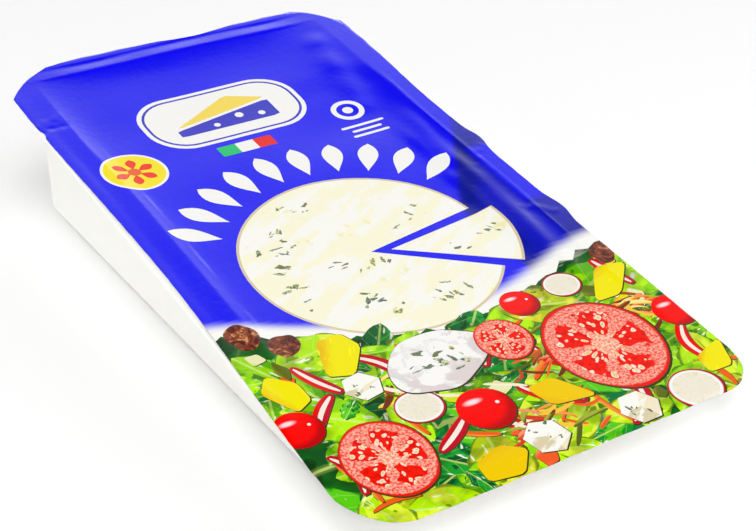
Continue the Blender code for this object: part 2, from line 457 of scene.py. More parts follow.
BLUE = ink(8, 4, 249)
LIGHT_BLUE = ink(50, 46, 244)
LINE_BLUE = ink(60, 60, 200)
# The navy of the dark reflection painted on the blue ground
PAINTED_REFLECTION_NAVY = ink(10, 22, 148)
WHITE = ink(250, 249, 245)
PAPER = ink(252, 251, 246)
CREAM = ink(252, 249, 219)
MILK = ink(252, 251, 243)
TAN = ink(222, 205, 170)
OLIVE = ink(140, 140, 84)
VEIN_BLUE = ink(86, 110, 104)
MOULD = (OLIVE, ink(178, 180, 120), ink(130, 142, 120), ink(212, 206, 110), ink(226, 222, 170))
YELLOW = ink(250, 232, 0)
ORANGE = ink(240, 96, 20)
CARROT = (ORANGE, ink(255, 150, 60))
RED = ink(238, 10, 0)
CRIMSON = ink(196, 10, 40)
FLAG_GREEN = ink(0, 200, 110)
WALNUT = ink(140, 66, 40)
DARK_WALNUT = ink(80, 26, 20)
GREENS = (
    (ink(140, 218, 0), ink(184, 244, 0)),
    (ink(90, 176, 0), ink(150, 216, 0)),
    (ink(16, 150, 40), ink(90, 204, 20)),
    (ink(0, 118, 52), ink(24, 160, 44)),
    (ink(178, 234, 0), ink(224, 244, 50)),
    (ink(176, 200, 10), ink(228, 226, 40)),
)
CUTTINGS = (
    (ink(206, 226, 10), ink(232, 240, 120)),
    (ink(236, 236, 184), ink(214, 222, 90)),
    (ink(150, 214, 20), ink(214, 236, 120)),
    (ink(244, 92, 40), ink(250, 160, 110)),
    (ink(96, 110, 20), ink(150, 140, 30)),
    (ink(250, 220, 0), ink(240, 170, 0)),
)
SHREDS = (
    (ink(244, 92, 30), ink(255, 160, 80)),
    (ink(220, 60, 30), ink(250, 150, 110)),
    (ink(120, 50, 24), ink(190, 96, 40)),
    (ink(250, 200, 60), ink(250, 236, 150)),
    (ink(90, 100, 20), ink(170, 180, 60)),
    (ink(252, 240, 214), ink(230, 214, 150)),
)
# Layers of leaves from the bottom up, as (how many, length, which greens)
LEAF_LAYERS = (
    (26, 24.0, (3, 2)),
    (28, 21.0, (2, 1, 0, 3)),
    (28, 19.0, (1, 0, 0, 4)),
    (22, 16.0, (0, 4, 4, 5)),
    (9, 9.0, (3, 2)),
)
SHADOW = ink(62, 60, 24)

# Where the main motifs lie, and how large they are
WHEEL_CENTRE = (49.0, 79.0)
WHEEL_RADIUS = 31.0
RIND = 0.7
VEIN_CLUSTERS = 17
CUT_START, CUT_END = -38.0, 8.0
CUT_SHIFT = 5.0
PETAL_RING = 41.5
PETAL_COUNT = 10
PETAL_SPAN = 112.0
PANEL_CENTRE = (47.0, 150.0)
ROUNDEL_CENTRE = (13.5, 133.0)
MARK_CENTRE = (78.0, 137.0)
SALAD_TOP_LEFT = 67.0
SALAD_TOP_RIGHT = 58.5
SALAD_SAG = 14


def salad_top(x):
    """The upper edge of the salad, which falls from left to right in a slow wave."""
    share = min(max(x / 100, 0.0), 1.0)
    straight = SALAD_TOP_LEFT + (SALAD_TOP_RIGHT - SALAD_TOP_LEFT) * share
    return straight - SALAD_SAG * math.sin(math.pi * share) ** 1.5


def wheel(motifs, rng):
    """A round cheese seen from above, with a wedge cut and drawn out."""
    reach = (WHEEL_RADIUS, WHEEL_RADIUS)
    drawn_out = around(WHEEL_CENTRE, CUT_SHIFT, (CUT_START + CUT_END) / 2)
    plain(motifs, circle(WHEEL_RADIUS + RIND, 72), WHEEL_CENTRE, 0, TAN)
    lay(motifs, circle(WHEEL_RADIUS, 72), WHEEL_CENTRE, 0, "cheese", (CREAM, MILK), reach, 3.0)
    cut = sector_outline(WHEEL_RADIUS + 3.0, CUT_START, CUT_END)
    lay(motifs, cut, WHEEL_CENTRE, 0, "ground", (BLUE, PAPER))
    plain(motifs, sector_outline(WHEEL_RADIUS + RIND, CUT_START + 2, CUT_END - 2), drawn_out, 0, TAN)
    piece = sector_outline(WHEEL_RADIUS, CUT_START + 2.4, CUT_END - 2.4)
    lay(motifs, piece, drawn_out, 0, "cheese", (CREAM, MILK), reach, 8.0)
    for _ in range(VEIN_CLUSTERS):
        degrees = rng.uniform(CUT_END + 6, CUT_START + 354)
        out = WHEEL_RADIUS * 0.86 * math.sqrt(rng.uniform(0.02, 1.0))
        flecks(motifs, rng, WHEEL_CENTRE, degrees, out)
    for degrees, out in ((-20.0, 17.0), (-10.0, 25.0)):
        flecks(motifs, rng, drawn_out, degrees, out)


def flecks(motifs, rng, centre, degrees, out):
    """One cluster of blue mould."""
    middle = around(centre, out, degrees)
    run = rng.uniform(0, 180)
    for number in range(rng.randint(2, 6)):
        spot = (middle[0] + rng.gauss(0, 1.8), middle[1] + rng.gauss(0, 1.4))
        shape = blob(rng.uniform(0.3, 1.4), rng.uniform(0.2, 0.6), 0.7, rng, 16)
        turn = run + rng.uniform(-35, 35)
        lay(motifs, shape, spot, turn, "fleck", (rng.choice(MOULD), VEIN_BLUE), seed=number)


def petals(motifs):
    """White petals in an arc over the cheese."""
    for number in range(PETAL_COUNT):
        angle = 90 + PETAL_SPAN * (0.5 - number / (PETAL_COUNT - 1))
        plain(motifs, petal_outline(13.0, 5.4), around(WHEEL_CENTRE, PETAL_RING, angle), angle, WHITE)


def panel(motifs):
    """A white panel with a keyline and a drawn wedge of cheese, over a bar of three colours."""
    for width, height, colour in ((46, 25, WHITE), (43.6, 22.6, LINE_BLUE), (42.2, 21.2, WHITE)):
        plain(motifs, panel_outline(width, height, height * 0.42), PANEL_CENTRE, 0, colour)
    face = [(-15, -6.6), (14, -6.6), (14, 1.6), (-15, -3.6)]
    top = [(-15, -2.6), (14, 2.6), (4, 7.6)]
    for side, colour in ((face, LINE_BLUE), (top, ink(250, 222, 90))):
        plain(motifs, soften(side, 1, 0.06), PANEL_CENTRE, 0, colour)
    x, s = PANEL_CENTRE
    for spot, size in (((x - 4, s - 4.6), 0.9), ((x + 3.5, s - 2.6), 1.2), ((x + 9.6, s - 4.0), 1.0)):
        plain(motifs, circle(size, 14), spot, 0, WHITE)
    for number, colour in enumerate((FLAG_GREEN, WHITE, RED)):
        plain(motifs, panel_outline(5.2, 4.6, 0.3), (x - 7 + 5.2 * number, s - 17.0), 0, colour)


def roundel(motifs):
    """A yellow roundel with a red flower."""
    plain(motifs, circle(8.5, 44), ROUNDEL_CENTRE, 0, WHITE)
    plain(motifs, circle(7.8, 44), ROUNDEL_CENTRE, 0, YELLOW)
    for turn in range(20, 380, 60):
        plain(motifs, petal_outline(4.6, 2.7, 8), around(ROUNDEL_CENTRE, 3.6, turn), turn, ink(245, 50, 10))
    plain(motifs, circle(1.7, 18), ROUNDEL_CENTRE, 0, ORANGE)


def mark(motifs):
    """A small white ring round a dot, over three plain bars."""
    for radius, count, colour in ((4.6, 30, WHITE), (3.1, 30, BLUE), (1.5, 18, WHITE)):
        plain(motifs, circle(radius, count), MARK_CENTRE, 0, colour)
    x, s = MARK_CENTRE
    for number, width in enumerate((13.0, 9.0, 11.0)):
        plain(motifs, panel_outline(width, 1.0, 0.5), (x, s - 7.6 - 2.4 * number), 0, WHITE)


def leaves(motifs, rng):
    """The salad's leaves, from the darkest and lowest to the lightest on top."""
    bed = [(-4, -4), (104, -4)]
    bed += [(x, salad_top(x) - 2.5 + 1.2 * math.sin(x * 0.9)) for x in range(104, -5, -3)]
    motifs.append(Motif(bed, "leaf", (GREENS[3][0], GREENS[2][0]), (50, 20), 0, (30, 20), 1.0))
    for layer, (count, length, shades) in enumerate(LEAF_LAYERS):
        for number in range(count):
            x = rng.uniform(-3, 103)
            size = length * rng.uniform(0.7, 1.25)
            s = rng.uniform(-2, salad_top(x) - 2 - 0.25 * size)
            turn = rng.uniform(0, 360)
            wide = size * rng.uniform(0.4, 0.72)
            shape = leaf_outline(size, wide, rng.uniform(0.05, 0.18), rng)
            inks = GREENS[rng.choice(shades)]
            seed = layer * 9.1 + number * 1.7
            lay(motifs, shape, (x, s), turn, "leaf", inks, (size / 2, wide / 2), seed)


def scattered(rng, x, lowest, margin):
    """A place in the salad and a turn, drawn at random."""
    return (x, rng.uniform(lowest, salad_top(x) - margin)), rng.uniform(0, 180)


def strips(motifs, rng):
    """Small cuttings, thin strips of carrot, and strips of a red leaf with a white rib."""
    for number in range(26):
        spot, turn = scattered(rng, rng.uniform(2, 98), 2, 6)
        size = (rng.uniform(2.2, 4.6), rng.uniform(1.6, 3.0))
        shape = chunk_outline(size, rng.choice((4, 4, 5)), rng)
        lay(motifs, shape, spot, turn, "chunk", rng.choice(CUTTINGS), size, number, True)
    for number in range(20):
        spot, turn = scattered(rng, rng.uniform(4, 98), 4, 8)
        length = rng.uniform(8, 15)
        shape = strip_outline(length, rng.uniform(1.0, 1.9), rng.uniform(-1.5, 1.5))
        lay(motifs, shape, spot, turn, "chunk", CARROT, (length / 2, 1), number, True)
    for number in range(13):
        spot, turn = scattered(rng, rng.choice((rng.uniform(2, 30), rng.uniform(40, 98))), 8, 8)
        length = rng.uniform(10, 17)
        bend = rng.uniform(-3, 3)
        outer = strip_outline(length, 3.4, bend)
        lay(motifs, outer, spot, turn, "chunk", (CRIMSON, RED), (length / 2, 2), number, True)
        plain(motifs, strip_outline(length * 0.9, 1.1, bend * 0.94), spot, turn, ink(252, 236, 222))


# The larger pieces of the salad as (place, size, turn), and the round ones as (place, radius)
PEPPERS = (((91, 43), (9.0, 5.6), 24), ((22, 49), (8.6, 5.4), 62), ((57, 17), (8.4, 5.4), 140),
           ((5, 43), (6.6, 4.6), 110), ((95, 10), (7.0, 4.8), 45), ((33, 5), (7.6, 5.0), 12))
CUBES = (((46, 7), 5.2, 12), ((21, 38), 4.6, -20), ((69, 5), 5.0, 30))
SLICES = (((76, 25), 13.5), ((14, 17), 9.8), ((57, 37), 6.4))
BERRIES = (((40, 20), 6.4), ((2, 32), 5.4), ((98, 27), 5.4), ((68, 46), 4.6))
ROOTS = (((84, 4), 6.6), ((28, 27), 5.6), ((81, 47), 4.8))
NUTS = (((6, 63), 4.6), ((13, 57), 4.2), ((97, 52), 4.0))
LUMP_PLACE = (40, 38)
LUMP_RADIUS = 12.5
LUMP_STRETCH = 0.74
LUMP_TURN = 16
LUMP_VEINS = ((200.0, 5.0), (150.0, 3.5), (20.0, 6.0), (300.0, 2.5), (330.0, 4.0))
SHRED_HEAPS = ((30, 34), (60, 28), (50, 11), (88, 33))


def shreds(motifs, rng):
    """Loose heaps of thin shreds in warm colours."""
    for x, s in SHRED_HEAPS:
        for number in range(22):
            spot = (x + rng.gauss(0, 5.0), s + rng.gauss(0, 3.4))
            turn = rng.uniform(-50, 60)
            length = rng.uniform(4, 10)
            shape = strip_outline(length, rng.uniform(0.6, 1.5), rng.uniform(-1.2, 1.2), 8)
            lay(motifs, shape, spot, turn, "chunk", rng.choice(SHREDS), (length / 2, 0.8), number)


def rounds(motifs, rng, places, pattern, inks, stretch, wobble, count=28):
    """Round pieces of one kind."""
    for number, (spot, radius) in enumerate(places):
        shape = blob(radius, stretch, wobble, rng, count)
        lay(motifs, shape, spot, 0, pattern, inks, (radius, radius * stretch), number, True)


def pieces(motifs, rng):
    """The larger cut pieces that lie on the leaves."""
    for number, (spot, size, turn) in enumerate(PEPPERS):
        shape = chunk_outline(size, 4 + number % 2, random.Random(40 + number))
        shade = ink(244, 204, 0) if number % 3 == 2 else ink(246, 234, 0)
        lay(motifs, shape, spot, turn, "chunk", (shade, ink(238, 186, 0)), size, number, True)
    rounds(motifs, rng, ROOTS, "root", (ink(243, 235, 218), CRIMSON), 0.9, 0.03)
    lump(motifs, rng)
    rounds(motifs, rng, SLICES, "slice", (RED, RED), 1.12, 0.04, 40)
    rounds(motifs, rng, BERRIES, "berry", (ink(252, 4, 0), ink(190, 0, 8)), 1.0, 0.02, 32)
    for number, (spot, size, turn) in enumerate(CUBES):
        cube(motifs, spot, size, turn, number)
    for number, (spot, radius) in enumerate(NUTS):
        shape = blob(radius, 0.8, 0.14, rng, 30)
        inks = (WALNUT, DARK_WALNUT)
        lay(motifs, shape, spot, rng.uniform(0, 180), "nut", inks, (radius, radius), number)


def lump(motifs, rng):
    """A soft lump of blue cheese."""
    shape = blob(LUMP_RADIUS, LUMP_STRETCH, 0.13, rng, 52)
    reach = (LUMP_RADIUS, LUMP_RADIUS * LUMP_STRETCH)
    lay(motifs, shape, LUMP_PLACE, LUMP_TURN, "paste", (ink(226, 214, 212), WHITE), reach, 5.0, True)
    for degrees, out in LUMP_VEINS:
        flecks(motifs, rng, LUMP_PLACE, degrees, out)


def cube(motifs, spot, size, turn, number):
    """A cube of blue cheese, seen from over one corner."""
    half, low = size * 0.87, size * 0.5
    far = low - size
    whole = [(0, -size), (half, far), (half, low), (0, size), (-half, low), (-half, far)]
    shadow(motifs, turned(whole, spot, turn))
    top = [(0, 0), (half, low), (0, size), (-half, low)]
    left = [(0, 0), (-half, low), (-half, far), (0, -size)]
    right = [(0, 0), (0, -size), (half, far), (half, low)]
    for face, colour in ((top, MILK), (left, ink(222, 208, 172)), (right, ink(243, 233, 200))):
        lay(motifs, face, spot, turn, "cheese", (colour, MILK), (size * 2, size * 2), number)
    rng = random.Random(70 + number)
    for _ in range(6):
        place = (spot[0] + rng.uniform(-0.6, 0.6) * size, spot[1] + rng.uniform(-0.7, 0.7) * size)
        shape = blob(rng.uniform(0.3, 0.8), 0.5, 0.5, rng, 10)
        lay(motifs, shape, place, rng.uniform(0, 180), "fleck", (VEIN_BLUE, OLIVE), seed=number)


def print_motifs():
    """All the motifs, in the order they are laid down. The first is the ground, which has no outline."""
    rng = random.Random(11)
    motifs = [Motif([], "ground", (BLUE, PAPER))]
    wheel(motifs, rng)
    for draw in (petals, panel, roundel, mark):
        draw(motifs)
    for draw in (leaves, strips, shreds, pieces):
        draw(motifs, rng)
    return motifs


# Where a dark reflection is painted on the blue ground, turning it towards navy, in print places
REFLECTION_SIDE = 78.0
REFLECTION_BEND = 84.0
REFLECTION_LEAN = 0.6
REFLECTION_GAP = (79.0, 104.5)


def ground_painted_reflection(x, s):
    """Where a painted dark reflection deepens the blue towards navy: low on the right, darkest inside its
    slanting upper edge, and on the rim at the right except in a gap.
    """
    inside = x - REFLECTION_SIDE - REFLECTION_LEAN * np.maximum(s - REFLECTION_BEND, 0.0)
    strength = 0.62 + 0.5 * bump(inside, 2.5, 4.5)
    gap = ease(s, REFLECTION_GAP[0] - 3, REFLECTION_GAP[0] + 1) * (1 - ease(s, REFLECTION_GAP[1] - 1, REFLECTION_GAP[1] + 1))
    on_rim = ease(x, 93.5, 94.5)
    return ease(inside, -0.4, 0.9) * (strength * (1 - on_rim) + 0.9 * on_rim * (1 - gap))


def ground_glow(x, s):
    """How far the blue ground has faded to white: fully at the salad, with a soft edge."""
    top = np.interp(x, np.arange(-5, 106), [salad_top(place) for place in range(-5, 106)])
    return 1 - ease(s, top + 0.3, top + 4.2)


# Materials


class Signal:
    """The output of a node. Each step of arithmetic on it adds a node."""

    def __init__(self, graph, socket):
        self.graph = graph
        self.socket = socket

    def __add__(self, other):
        return self.graph.math("ADD", self, other)

    def __sub__(self, other):
        return self.graph.math("SUBTRACT", self, other)

    def __rsub__(self, other):
        return self.graph.math("SUBTRACT", other, self)

    def __mul__(self, other):
        return self.graph.math("MULTIPLY", self, other)

    def __truediv__(self, other):
        return self.graph.math("DIVIDE", self, other)


class Graph:
    """Makes the nodes of one material, or of the world."""

    def __init__(self, tree):
        self.tree = tree

    def feed(self, target, value):
        """Links an input, or sets a plain value."""
        if isinstance(value, Signal):
            self.tree.links.new(value.socket, target)
        elif isinstance(value, tuple) and target.type == "RGBA":
            target.default_value = (*value[:3], 1.0)
        else:
            target.default_value = value

    def fill(self, node, values):
        """Feeds the inputs that the values name or number."""
        for name, value in values.items():
            self.feed(node.inputs[name], value)

    def add(self, kind, values, output=0, **settings):
        """Adds a node, fills its inputs, and gives one of its outputs."""
        node = self.tree.nodes.new("ShaderNode" + kind)
        for name, setting in settings.items():
            setattr(node, name, setting)
        self.fill(node, values)
        return Signal(self, node.outputs[output])

    def math(self, operation, *values):
        """One step of arithmetic."""
        return self.add("Math", dict(enumerate(values)), operation=operation)

    def ease(self, value, low, high):
        """Rises smoothly from 0 at low to 1 at high."""
        values = {"Value": value, "From Min": low, "From Max": high}
        return self.add("MapRange", values, "Result", interpolation_type="SMOOTHSTEP")

    def length(self, x, y):
        """How far a point is from the middle."""
        return self.math("SQRT", x * x + y * y)

    def mix(self, factor, first, second):
        """Blends two colours."""
        return self.add("Mix", {0: factor, 6: first, 7: second}, 2, data_type="RGBA")

    def shade(self, colour, factor):
        """Makes a colour darker or lighter by a factor."""
        return self.add("VectorMath", {0: colour, "Scale": factor}, operation="SCALE")

    def attribute(self, name, output):
        """One of the mesh's own attributes."""
        return self.add("Attribute", {}, output, attribute_name=name)

    def split(self, vector):
        """The three parts of a vector."""
        parts = self.add("SeparateXYZ", {0: vector}).socket.node.outputs
        return [Signal(self, part) for part in parts]

    def join(self, x, y, z):
        """A vector from its parts."""
        return self.add("CombineXYZ", {0: x, 1: y, 2: z})

    def noise(self, vector, scale, detail=2.0, roughness=0.5, distortion=0.0):
        """Soft noise from 0 to 1."""
        values = {"Vector": vector, "Scale": scale, "Detail": detail, "Roughness": roughness}
        return self.add("TexNoise", values | {"Distortion": distortion})

    def cells(self, vector, scale):
        """The distance to the nearest of many scattered points."""
        return self.add("TexVoronoi", {"Vector": vector, "Scale": scale}, "Distance")

    def relief(self, height, strength, distance):
        """A normal with fine relief."""
        return self.add("Bump", {"Strength": strength, "Distance": distance, "Height": height})


def new_material(name):
    """A material with its shader and the maker of its nodes."""
    material = bpy.data.materials.new(name)
    material.use_nodes = True
    return material, material.node_tree.nodes["Principled BSDF"], Graph(material.node_tree)


def ground_pattern(graph, inks, own, place):
    """Blue ink with faint clouds and a painted dark reflection in navy low on the right, fading to white at
    the salad.
    """
    clouds = graph.noise(place, 0.09, 3.0)
    grain = graph.ease(graph.noise(place, 2.6, 2.0, 0.7), 0.50, 0.62)
    blue = graph.shade(inks[0], clouds * 0.16 + 0.88)
    grained = graph.mix(grain * 0.25, blue, LIGHT_BLUE)
    # Painted dark reflection: the blue is darkened towards navy low on the right side
    deep = graph.attribute("painted_reflection", "Fac") * (clouds * 0.8 + 0.5)
    return graph.mix(graph.attribute("glow", "Fac"), graph.mix(deep, grained, PAINTED_REFLECTION_NAVY), inks[1])


def plain_pattern(graph, inks, own, place):
    """One ink with a very faint mottle."""
    return graph.shade(inks[0], graph.noise(place, 0.8, 3.0) * 0.05 + 0.97)


def leaf_pattern(graph, inks, own, place):
    """A leaf: patches of light and shade, a pale midrib, side veins, a few glints and a dark rim."""
    along, aside, seed = own
    away = graph.math("ABSOLUTE", aside)
    patches = graph.noise(graph.join(along * 1.2, aside, seed), 1.2)
    tone = graph.mix(graph.ease(patches, 0.46, 0.53), *inks)
    hollows = graph.noise(graph.join(seed * 3.7 + along, aside, seed), 1.7)
    deep = graph.mix(graph.ease(hollows, 0.61, 0.64), tone, graph.shade(inks[0], 0.5))
    saw = graph.math("PINGPONG", along * 2.6 - away * 1.5, 0.5)
    veins = (1.0 - graph.ease(saw, 0.02, 0.05)) * 0.22
    rib = (1.0 - graph.ease(away, 0.03, 0.07)) * 0.6
    lined = graph.mix(graph.math("MAXIMUM", veins, rib), deep, ink(224, 246, 130))
    gloss = graph.noise(graph.join(along * 0.9, aside * 2.2, seed), 2.2, 3.0)
    lit = graph.mix(graph.ease(gloss, 0.63, 0.67), lined, ink(246, 252, 232))
    arch = graph.math("MAXIMUM", graph.math("SINE", along * (math.pi / 2) + math.pi / 2), 0.0)
    half = graph.math("MAXIMUM", graph.math("POWER", arch, LEAF_FULLNESS), 0.02)
    rimmed = graph.mix(graph.ease(away / half, 0.86, 0.98) * 0.7, lit, ink(22, 60, 10))
    sunk = graph.ease(graph.noise(place, 0.13), 0.36, 0.54)
    return graph.shade(rimmed, sunk * 0.40 + 0.62)


def slice_pattern(graph, inks, own, place):
    """A cut tomato: thin skin, mottled flesh, chambers with long seeds, and a pale core."""
    along, aside, seed = own
    wander = graph.noise(place, 0.3)
    out = graph.length(along, aside)
    bent = out + (wander * 0.20 - 0.10)
    angle = graph.math("ARCTAN2", aside, along)
    spokes = graph.math("SINE", angle * 5.0 + wander * 4.0)
    mottle = graph.noise(place, 1.6, 4.0, 0.7)
    core = graph.mix(graph.ease(mottle, 0.44, 0.56), ink(250, 130, 100), ink(252, 216, 190))
    flesh = graph.mix(graph.ease(mottle, 0.42, 0.58), ink(246, 74, 54), ink(252, 184, 164))
    flesh = graph.mix(graph.ease(bent, 0.22, 0.50), core, flesh)
    gel = graph.mix(graph.ease(graph.noise(place, 0.7), 0.45, 0.6), ink(252, 24, 0), ink(226, 14, 0))
    near = graph.cells(graph.join(angle * 1.7, bent * 2.3, seed), 2.8)
    gel = graph.mix(graph.ease(near, 0.34, 0.42), ink(253, 236, 214), gel)
    gel = graph.mix(graph.ease(near, 0.22, 0.28), ink(232, 206, 140), gel)
    ring = graph.ease(bent, 0.20, 0.24) * (1.0 - graph.ease(bent, 0.76, 0.79))
    cut = graph.mix(graph.ease(spokes, -0.62, -0.42) * ring, flesh, gel)
    return graph.mix(graph.ease(out, 0.93, 0.97), cut, ink(236, 24, 10))


def berry_pattern(graph, inks, own, place):
    """A small round fruit: shaded round its rim, with a long soft highlight and a glint."""
    along, aside, _ = own
    out = graph.length(along, aside) + (along * 0.35 - aside * 0.5)
    body = graph.mix(graph.ease(out, 0.75, 1.35), *inks)
    away = graph.length(along + 0.22, (aside - 0.46) * 2.6)
    streaked = graph.mix(graph.ease(away, 0.12, 0.46), ink(250, 226, 232), body)
    away = graph.length(along - 0.52, aside - 0.10)
    return graph.mix(graph.ease(away, 0.05, 0.09), WHITE, streaked)


def chunk_pattern(graph, inks, own, place):
    """A cut piece of fruit: its second ink towards one side, and pale streaks along it."""
    along, aside, seed = own
    streaks = graph.noise(graph.join(along * 0.8, aside * 2.6, seed), 1.5, 3.0)
    body = graph.mix(graph.ease(aside + streaks * 0.8, 0.55, 1.35), *inks)
    return graph.mix(graph.ease(streaks, 0.62, 0.68), body, graph.shade(inks[0], 1.12))


def cheese_pattern(graph, inks, own, place):
    """Creamy paste: milky patches with brushed edges, and faint yellow."""
    x, s, _ = graph.split(place)
    brushed = graph.join(x * 0.06 + s * 0.03, s * 0.20 - x * 0.10, own[2])
    body = graph.mix(graph.ease(graph.noise(brushed, 1.0, 5.0, 0.62), 0.47, 0.53), *inks)
    warm = graph.ease(graph.noise(place, 0.14, 4.0, 0.6), 0.64, 0.68)
    return graph.mix(warm * 0.5, body, ink(240, 232, 140))


def paste_pattern(graph, inks, own, place):
    """Soft white paste: pillowy, with a warm shade low on its sides and faint blue in its folds."""
    along, aside, _ = own
    pillows = graph.noise(place, 0.20, 3.0, 0.55, 0.6)
    light = pillows + (aside * 0.10 - graph.length(along, aside) * 0.22)
    body = graph.mix(graph.ease(light, 0.22, 0.40), *inks)
    folds = 1.0 - graph.ease(graph.math("ABSOLUTE", pillows - 0.47), 0.0, 0.03)
    return graph.mix(folds * 0.35, body, ink(196, 200, 214))


def fleck_pattern(graph, inks, own, place):
    """A fleck of blue mould in two mottled inks."""
    return graph.mix(graph.ease(graph.noise(place, 1.5, 3.0), 0.42, 0.6), *inks)


def root_pattern(graph, inks, own, place):
    """A slice of radish: white, faintly rayed, in a thin coloured skin."""
    along, aside, seed = own
    out = graph.length(along, aside)
    angle = graph.math("ARCTAN2", aside, along)
    rays = graph.noise(graph.join(angle * 5.0, out, seed), 2.0)
    body = graph.mix(graph.ease(rays, 0.5, 0.65), inks[0], ink(232, 226, 190))
    inner = graph.mix(graph.ease(out, 0.8, 0.84), body, WHITE)
    return graph.mix(graph.ease(out, 0.90, 0.95), inner, inks[1])


def nut_pattern(graph, inks, own, place):
    """A wrinkled brown kernel."""
    folds = graph.noise(place, 0.42, 4.0, 0.6, 1.2)
    body = graph.mix(graph.ease(folds, 0.40, 0.56), inks[1], inks[0])
    return graph.mix(graph.ease(folds, 0.58, 0.66), body, ink(214, 150, 96))


PATTERNS = {
    "ground": ground_pattern,
    "plain": plain_pattern,
    "leaf": leaf_pattern,
    "slice": slice_pattern,
    "berry": berry_pattern,
    "chunk": chunk_pattern,
    "cheese": cheese_pattern,
    "paste": paste_pattern,
    "fleck": fleck_pattern,
    "root": root_pattern,
    "nut": nut_pattern,
}
PEEL_DEPTH = 0.00012
GLOSS_RISE = (30.0, 74.0)


def print_material(name, pattern):
    """Glossy printed film in one of the patterns, less glossy over the salad."""
    material, shader, graph = new_material("print_" + name)
    place = graph.attribute("place", "Vector")
    own = graph.split(graph.attribute("motif", "Vector"))
    inks = (graph.attribute("ink", "Color"), graph.attribute("ink_two", "Color"))
    graph.fill(shader, {
        "Base Color": graph.shade(pattern(graph, inks, own, place), PRINT_REFLECTANCE),
        "Roughness": graph.noise(place, 0.12, 3.0) * 0.08 + 0.11,
        "IOR": graph.ease(graph.split(place)[1], *GLOSS_RISE) * 0.17 + 1.30,
        "Normal": graph.relief(graph.noise(place, 0.55), 0.25, PEEL_DEPTH),
    })
    return material


def back_material():
    """The film's unprinted white back."""
    material, shader, graph = new_material("print_back")
    faint = graph.noise(graph.attribute("place", "Vector"), 0.3)
    graph.fill(shader, {"Base Color": graph.mix(faint, ink(238, 238, 232), WHITE), "Roughness": 0.4})
    return material


def tray_material():
    """White moulded plastic with a soft sheen."""
    material, shader, graph = new_material("tray_white")
    place = graph.add("TexCoord", {}, "Object")
    cloud = graph.noise(place, 22.0, 3.0)
    graph.fill(shader, {
        "Base Color": graph.mix(cloud, (0.925, 0.918, 0.875), (0.945, 0.938, 0.895)),
        "Roughness": graph.noise(place, 60.0) * 0.14 + 0.30,
        "IOR": 1.48,
        "Subsurface Weight": 0.15,
        "Subsurface Radius": (0.003, 0.003, 0.0025),
        "Subsurface Scale": 1.0,
        "Normal": graph.relief(graph.noise(place, 900.0), 0.12, 0.0001),
    })
    return material


def add_object(name, data):
    """An object in the scene, made from its data."""
    added = bpy.data.objects.new(name, data)
    bpy.context.scene.collection.objects.link(added)
    return added


# The film's mesh


def inside_outline(places, outline):
    """Which places lie inside an outline."""
    x, s = places.T
    inside = np.zeros(len(places), dtype=bool)
    following = np.roll(outline, -1, axis=0)
    for (x1, s1), (x2, s2) in zip(outline, following):
        if s1 == s2:
            continue
        crosses = (s1 > s) != (s2 > s)
        inside ^= crosses & (x < (x2 - x1) * (s - s1) / (s2 - s1) + x1)
    return inside


SIDE_BAND = 17.0
BACK_BAND = 17.0
FINE_STEP = 0.62
COARSE_STEP = 1.35
WELD = 0.02


def grid_lines(low, high, fine_low, fine_high):
    """Places along one direction, closer together in the bands at its ends."""
    lines = [low]
    while lines[-1] < high:
        fine = lines[-1] < fine_low or lines[-1] > fine_high
        lines.append(lines[-1] + (FINE_STEP if fine else COARSE_STEP))
    return np.array(lines)


def film_plan(motifs):
    """Triangles of the film in print places, cut along every motif, with each one's topmost motif."""
    edge = film_edge() / UNIT + (MIDDLE_X, 0)
    outlines = [edge] + [motif.outline for motif in motifs[1:]]
    columns = grid_lines(edge[:, 0].min(), edge[:, 0].max(), SIDE_BAND, 100 - SIDE_BAND)
    rows = grid_lines(0.5, edge[:, 1].max(), -1, edge[:, 1].max() - BACK_BAND)
    grid = np.array([(x, s) for s in rows for x in columns])
    points = np.vstack(outlines + [grid[inside_outline(grid, edge)]])
    constraints = []
    start = 0
    for outline in outlines:
        count = len(outline)
        constraints += [(start + i, start + (i + 1) % count) for i in range(count)]
        start += count
    vectors = [Vector(point) for point in points]
    places, _, triangles, *_ = delaunay_2d_cdt(vectors, constraints, [], 0, WELD, False)
    places = np.array([tuple(place) for place in places])
    triangles = np.array([tuple(triangle) for triangle in triangles])
    triangles = triangles[inside_outline(places[triangles].mean(axis=1), edge)]
    middles = places[triangles].mean(axis=1)
    top = np.zeros(len(triangles), dtype=int)
    for number, outline in enumerate(outlines[1:], 1):
        low, high = outline.min(axis=0), outline.max(axis=0)
        near = np.flatnonzero(((middles > low) & (middles < high)).all(axis=1))
        top[near[inside_outline(middles[near], outline)]] = number
    used, triangles = np.unique(triangles, return_inverse=True)
    return places[used], triangles.reshape(-1, 3), top


NORMAL_STEP = 0.00005


def film_normals(x, s):
    """The film's upward normals in the mouth's frame."""
    h = NORMAL_STEP
    across = (film_lift(x + h, s) - film_lift(x - h, s)) / (2 * h)
    along = (film_lift(x, s + h) - film_lift(x, s - h)) / (2 * h)
    normals = np.stack((-across, -along, np.ones_like(x)), axis=1)
    return normals / np.linalg.norm(normals, axis=1)[:, None]


def boundary_loop(triangles):
    """The directed edges that only one triangle has."""
    edges = np.vstack((triangles[:, (0, 1)], triangles[:, (1, 2)], triangles[:, (2, 0)]))
    known = {tuple(edge) for edge in edges}
    return [edge for edge in known if (edge[1], edge[0]) not in known]


